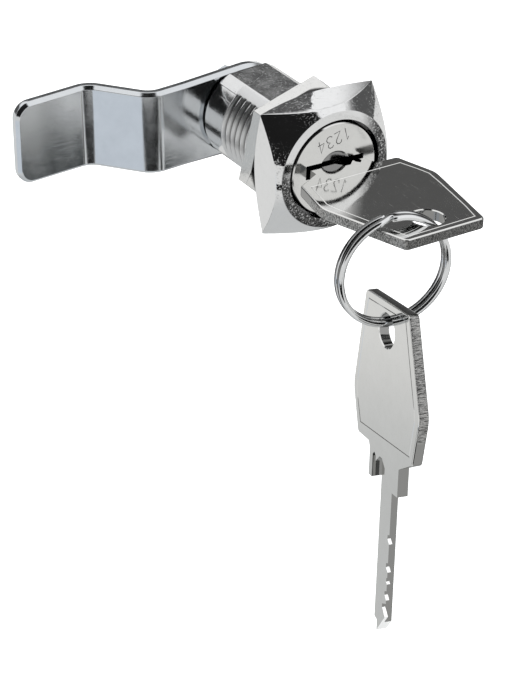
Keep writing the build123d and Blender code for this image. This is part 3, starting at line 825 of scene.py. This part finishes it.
def build_numbers(text, height, lean, pitch):
    """Plain digits engraved upside down on the plug's face, as a thin dark line along each stroke."""
    grow, width, sink = 1.15, 0.2, 0.05
    curve = bpy.data.curves.new("numbers", "CURVE")
    curve.dimensions = "3D"
    curve.bevel_depth = width / 2 * MM
    curve.bevel_resolution = 1
    curve.use_fill_caps = True
    along = Vector((-math.cos(lean), 0, -math.sin(lean)))
    upward = Vector((math.sin(lean), 0, -math.cos(lean)))
    middle = height * UP + (FACE_Y + sink) * AXIS_Y
    for k, digit in enumerate(text):
        start = (k - (len(text) - 1) / 2) * pitch
        spline = curve.splines.new("POLY")
        spline.points.add(len(STROKES[digit]) - 1)
        for point, (x, y) in zip(spline.points, STROKES[digit]):
            x, y = (x - DIGIT_MIDDLE[0]) * grow + start, (y - DIGIT_MIDDLE[1]) * grow
            point.co = (*((middle + along * x + upward * y) * MM), 1)
    maker = bpy.data.objects.new("numbers_maker", curve)
    bpy.context.collection.objects.link(maker)
    mesh = evaluated_mesh(maker)
    bpy.data.objects.remove(maker)
    mesh.materials.clear()
    to_object("face_numbers", mesh, [INK], "plug_group")


def cam_rim(wall, face, _middle):
    """Edges of the bent strip between its faces and its sheared sides and end."""
    side = abs(wall.z) > 0.9 and abs(face.z) < 0.2
    end = wall.x < -0.05 and abs(wall.y) < 0.2 and abs(face.y) > 0.9
    return side or end


def blob(paint, centre, inner, outer, stretch, turn):
    """1 inside an ellipse on the floor, 0 outside it, smooth between; millimetres and degrees."""
    values = {"Vector": paint.at, "Location": (centre[0] * MM, centre[1] * MM, 0),
              "Rotation": (0, 0, math.radians(turn)), "Scale": (stretch[0] * MM, stretch[1] * MM, 1000)}
    moved = paint.node("ShaderNodeMapping", values, vector_type="TEXTURE").outputs[0]
    distance = paint.node("ShaderNodeVectorMath", {0: moved}, operation="LENGTH").outputs["Value"]
    return paint.rise(distance, outer, inner)


# Floor and room. Places and sizes on the floor are in millimetres, its half size in metres.
FLOOR_Z = -88.0
FLOOR_HALF_SIZE = 3.0
FLOOR_PAPER = (0.80, 0.80, 0.79)
FLOOR_REFLECTION_PATCHES = [
    # centre, inner and outer size, stretch, turn, colour
    ((-20, 10), 40, 120, (1, 1), 0, (0.60, 0.61, 0.61)),
    ((-190, -5), 45, 75, (1, 1.2), 0, (0.70, 0.745, 0.80)),
    ((46, -102), 0.7, 1.2, (32, 18), -32, (0.05, 0.055, 0.055)),
    ((-88, -122), 0.85, 1.0, (118, 34), -30, (0.012, 0.012, 0.012)),
    ((-90, 45), 14, 32, (1, 1), 0, (0.03, 0.03, 0.03)),
    ((76, 95), 30, 75, (1, 1), 0, (0.03, 0.03, 0.03)),
    ((108, 20), 50, 85, (1, 1), 0, (0.03, 0.03, 0.03)),
]
SKY_BAND = [(0.0, 0.85), (0.03, 0.20), (0.10, 0.10), (0.47, 0.10), (0.53, 1.0), (1.0, 1.0)]
BAND_FROM_Y = (-0.08, 0.12)
SKY_SHADES = [
    # direction, inner and outer cosine, colour
    ((1.0, -0.05, 0.12), 0.95, 0.80, (0.10, 0.10, 0.10)),
    ((-0.464, -0.723, 0.512), 0.78, 0.72, (0.012, 0.012, 0.012)),
]


def build_floor():
    """Pale paper. The camera sees it white with a faint shadow; metal sees patches painted on it that
    show only in reflections.
    """
    mesh = bpy.data.meshes.new("floor")
    half, z = FLOOR_HALF_SIZE, FLOOR_Z * MM
    corners = [(-half, -half, z), (half, -half, z), (half, half, z), (-half, half, z)]
    mesh.from_pydata(corners, [], [(0, 1, 2, 3)])
    floor = bpy.data.objects.new("floor", mesh)
    bpy.context.collection.objects.link(floor)
    p = Paint("floor_paper", (0.9, 0.9, 0.9), 0.0, 0.9)
    paper = p.shader.outputs[0]
    shade = FLOOR_PAPER
    # Painted reflections: dark and light patches that only metal sees
    for *ellipse, colour in FLOOR_REFLECTION_PATCHES:
        shade = p.mix(blob(p, *ellipse), shade, colour)
    white = p.glow(Strength=0.72)
    lit = p.node("ShaderNodeAddShader", {0: white, 1: paper}).outputs[0]
    path = p.nodes.new("ShaderNodeLightPath").outputs
    seen = p.choose(path["Is Camera Ray"], paper, lit)
    p.show(p.choose(path["Is Glossy Ray"], seen, p.glow(Color=shade)))
    mesh.materials.append(p.mat)


def build_world():
    """Soft light all round. Metal sees a white room, dark behind the camera and in a band at the back."""
    world = bpy.data.worlds.new("studio")
    bpy.context.scene.world = world
    world.use_nodes = True
    w = Nodes(world.node_tree)
    ambient = w.nodes["Background"]
    ambient.inputs["Color"].default_value = (0.96, 0.98, 1.0, 1)
    ambient.inputs["Strength"].default_value = 0.5
    direction = w.nodes.new("ShaderNodeTexCoord").outputs["Generated"]
    along = w.node("ShaderNodeSeparateXYZ", {0: direction}).outputs
    behind = w.rise(along["Y"], *BAND_FROM_Y)
    shade = w.mix(behind, (1, 1, 1), w.ramp(along["Z"], *SKY_BAND))
    for aim, inner, outer, colour in SKY_SHADES:
        shade = w.mix(w.rise(w.dot(direction, Vector(aim).normalized()), outer, inner), shade, colour)
    room = w.node("ShaderNodeBackground", {"Color": shade}).outputs[0]
    white = w.node("ShaderNodeBackground", {"Color": (1, 1, 1, 1)}).outputs[0]
    path = w.nodes.new("ShaderNodeLightPath").outputs
    by_metal = w.choose(path["Is Glossy Ray"], ambient.outputs[0], room)
    by_camera = w.choose(path["Is Camera Ray"], by_metal, white)
    w.links.new(by_camera, w.nodes["World Output"].inputs["Surface"])


def lamp(name, place, size, energy):
    """Soft box that lights the object and doesn't show in its metal."""
    data = bpy.data.lights.new(name, "AREA")
    data.shape = "SQUARE"
    data.size = size
    data.energy = energy
    obj = bpy.data.objects.new(name, data)
    bpy.context.collection.objects.link(obj)
    obj.location = place
    obj.rotation_mode = "QUATERNION"
    obj.rotation_quaternion = Vector(place).to_track_quat("Z", "Y")
    obj.visible_glossy = False


def bounce_card():
    """A board behind the head that only shows in metal; its light fades to the right. Millimetres."""
    left, right, low, high, y = 4.5, 20.5, 13.8, 20.2, 6.0
    fade_from, fade_to, least = 9.0, 20.0, 0.1
    corners = [(left, y, low), (right, y, low), (right, y, high), (left, y, high)]
    mesh = bpy.data.meshes.new("bounce_card")
    mesh.from_pydata([tuple(c * MM for c in p) for p in corners], [], [(0, 1, 2, 3)])
    obj = bpy.data.objects.new("bounce_card", mesh)
    bpy.context.collection.objects.link(obj)
    p = Paint("bounce_card", (1, 1, 1), 0.0, 0.5)
    strength = p.math("MAXIMUM", p.rise(p.place()[0], fade_to, fade_from), least)
    p.show(p.glow(Color=(1, 1, 1, 1), Strength=strength))
    mesh.materials.append(p.mat)
    obj.visible_camera = obj.visible_diffuse = obj.visible_shadow = obj.visible_transmission = False


photo_camera()

plug_face_finish()
head_finish()
nut_finish()
barrel_finish()
ring_finish()
KEY = key_metal("key_nickel_plate", lock_key_matrix(), sheared_end=True)
SPARE = key_metal("spare_nickel_plate", spare_key_matrix(), sheared_end=False)

build_housing()
build_ring()
build_key("key", "key_in_lock", "key_body", lock_key_matrix(), KEY)
build_key("spare_key", "hanging_key", "spare_body", spare_key_matrix(), SPARE)
dress("plug", "plug_core", PLUG, "plug_group", 0.08)
build_numbers("1234", height=5.45, lean=math.radians(12), pitch=1.75)
dress("panel_nut", "hex_nut", NUT, "panel_nut_body", 0.18, segments=3)
dress("stop_washer", "stop_plate", ZINC, "plug_group", 0.12)
dress("cam", "cam_strip", ZINC, "plug_group", 0.1, degrees=40, rims=(cam_rim, 0.55, 4))
dress("lock_washer", "spring_washer", FASTENER, "plug_group", 0.1)
dress("cam_nut", "stud_nut", FASTENER, "plug_group", 0.12)

# The pieces inside keep the part's own meshes
for kind, paint in (("wafer", BRASS), ("wafer_spring", SPRING)):
    for k in range(1, 7):
        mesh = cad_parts[f"{kind}_{k}"].data
        mesh.materials.clear()
        mesh.materials.append(paint.mat)

build_floor()
build_world()
bounce_card()
lamp("key_light", (0.35, -0.5, 0.75), size=0.6, energy=7)
lamp("fill_light", (-0.8, -0.3, 0.4), size=0.6, energy=3)

bpy.context.scene.view_settings.view_transform = "Standard"
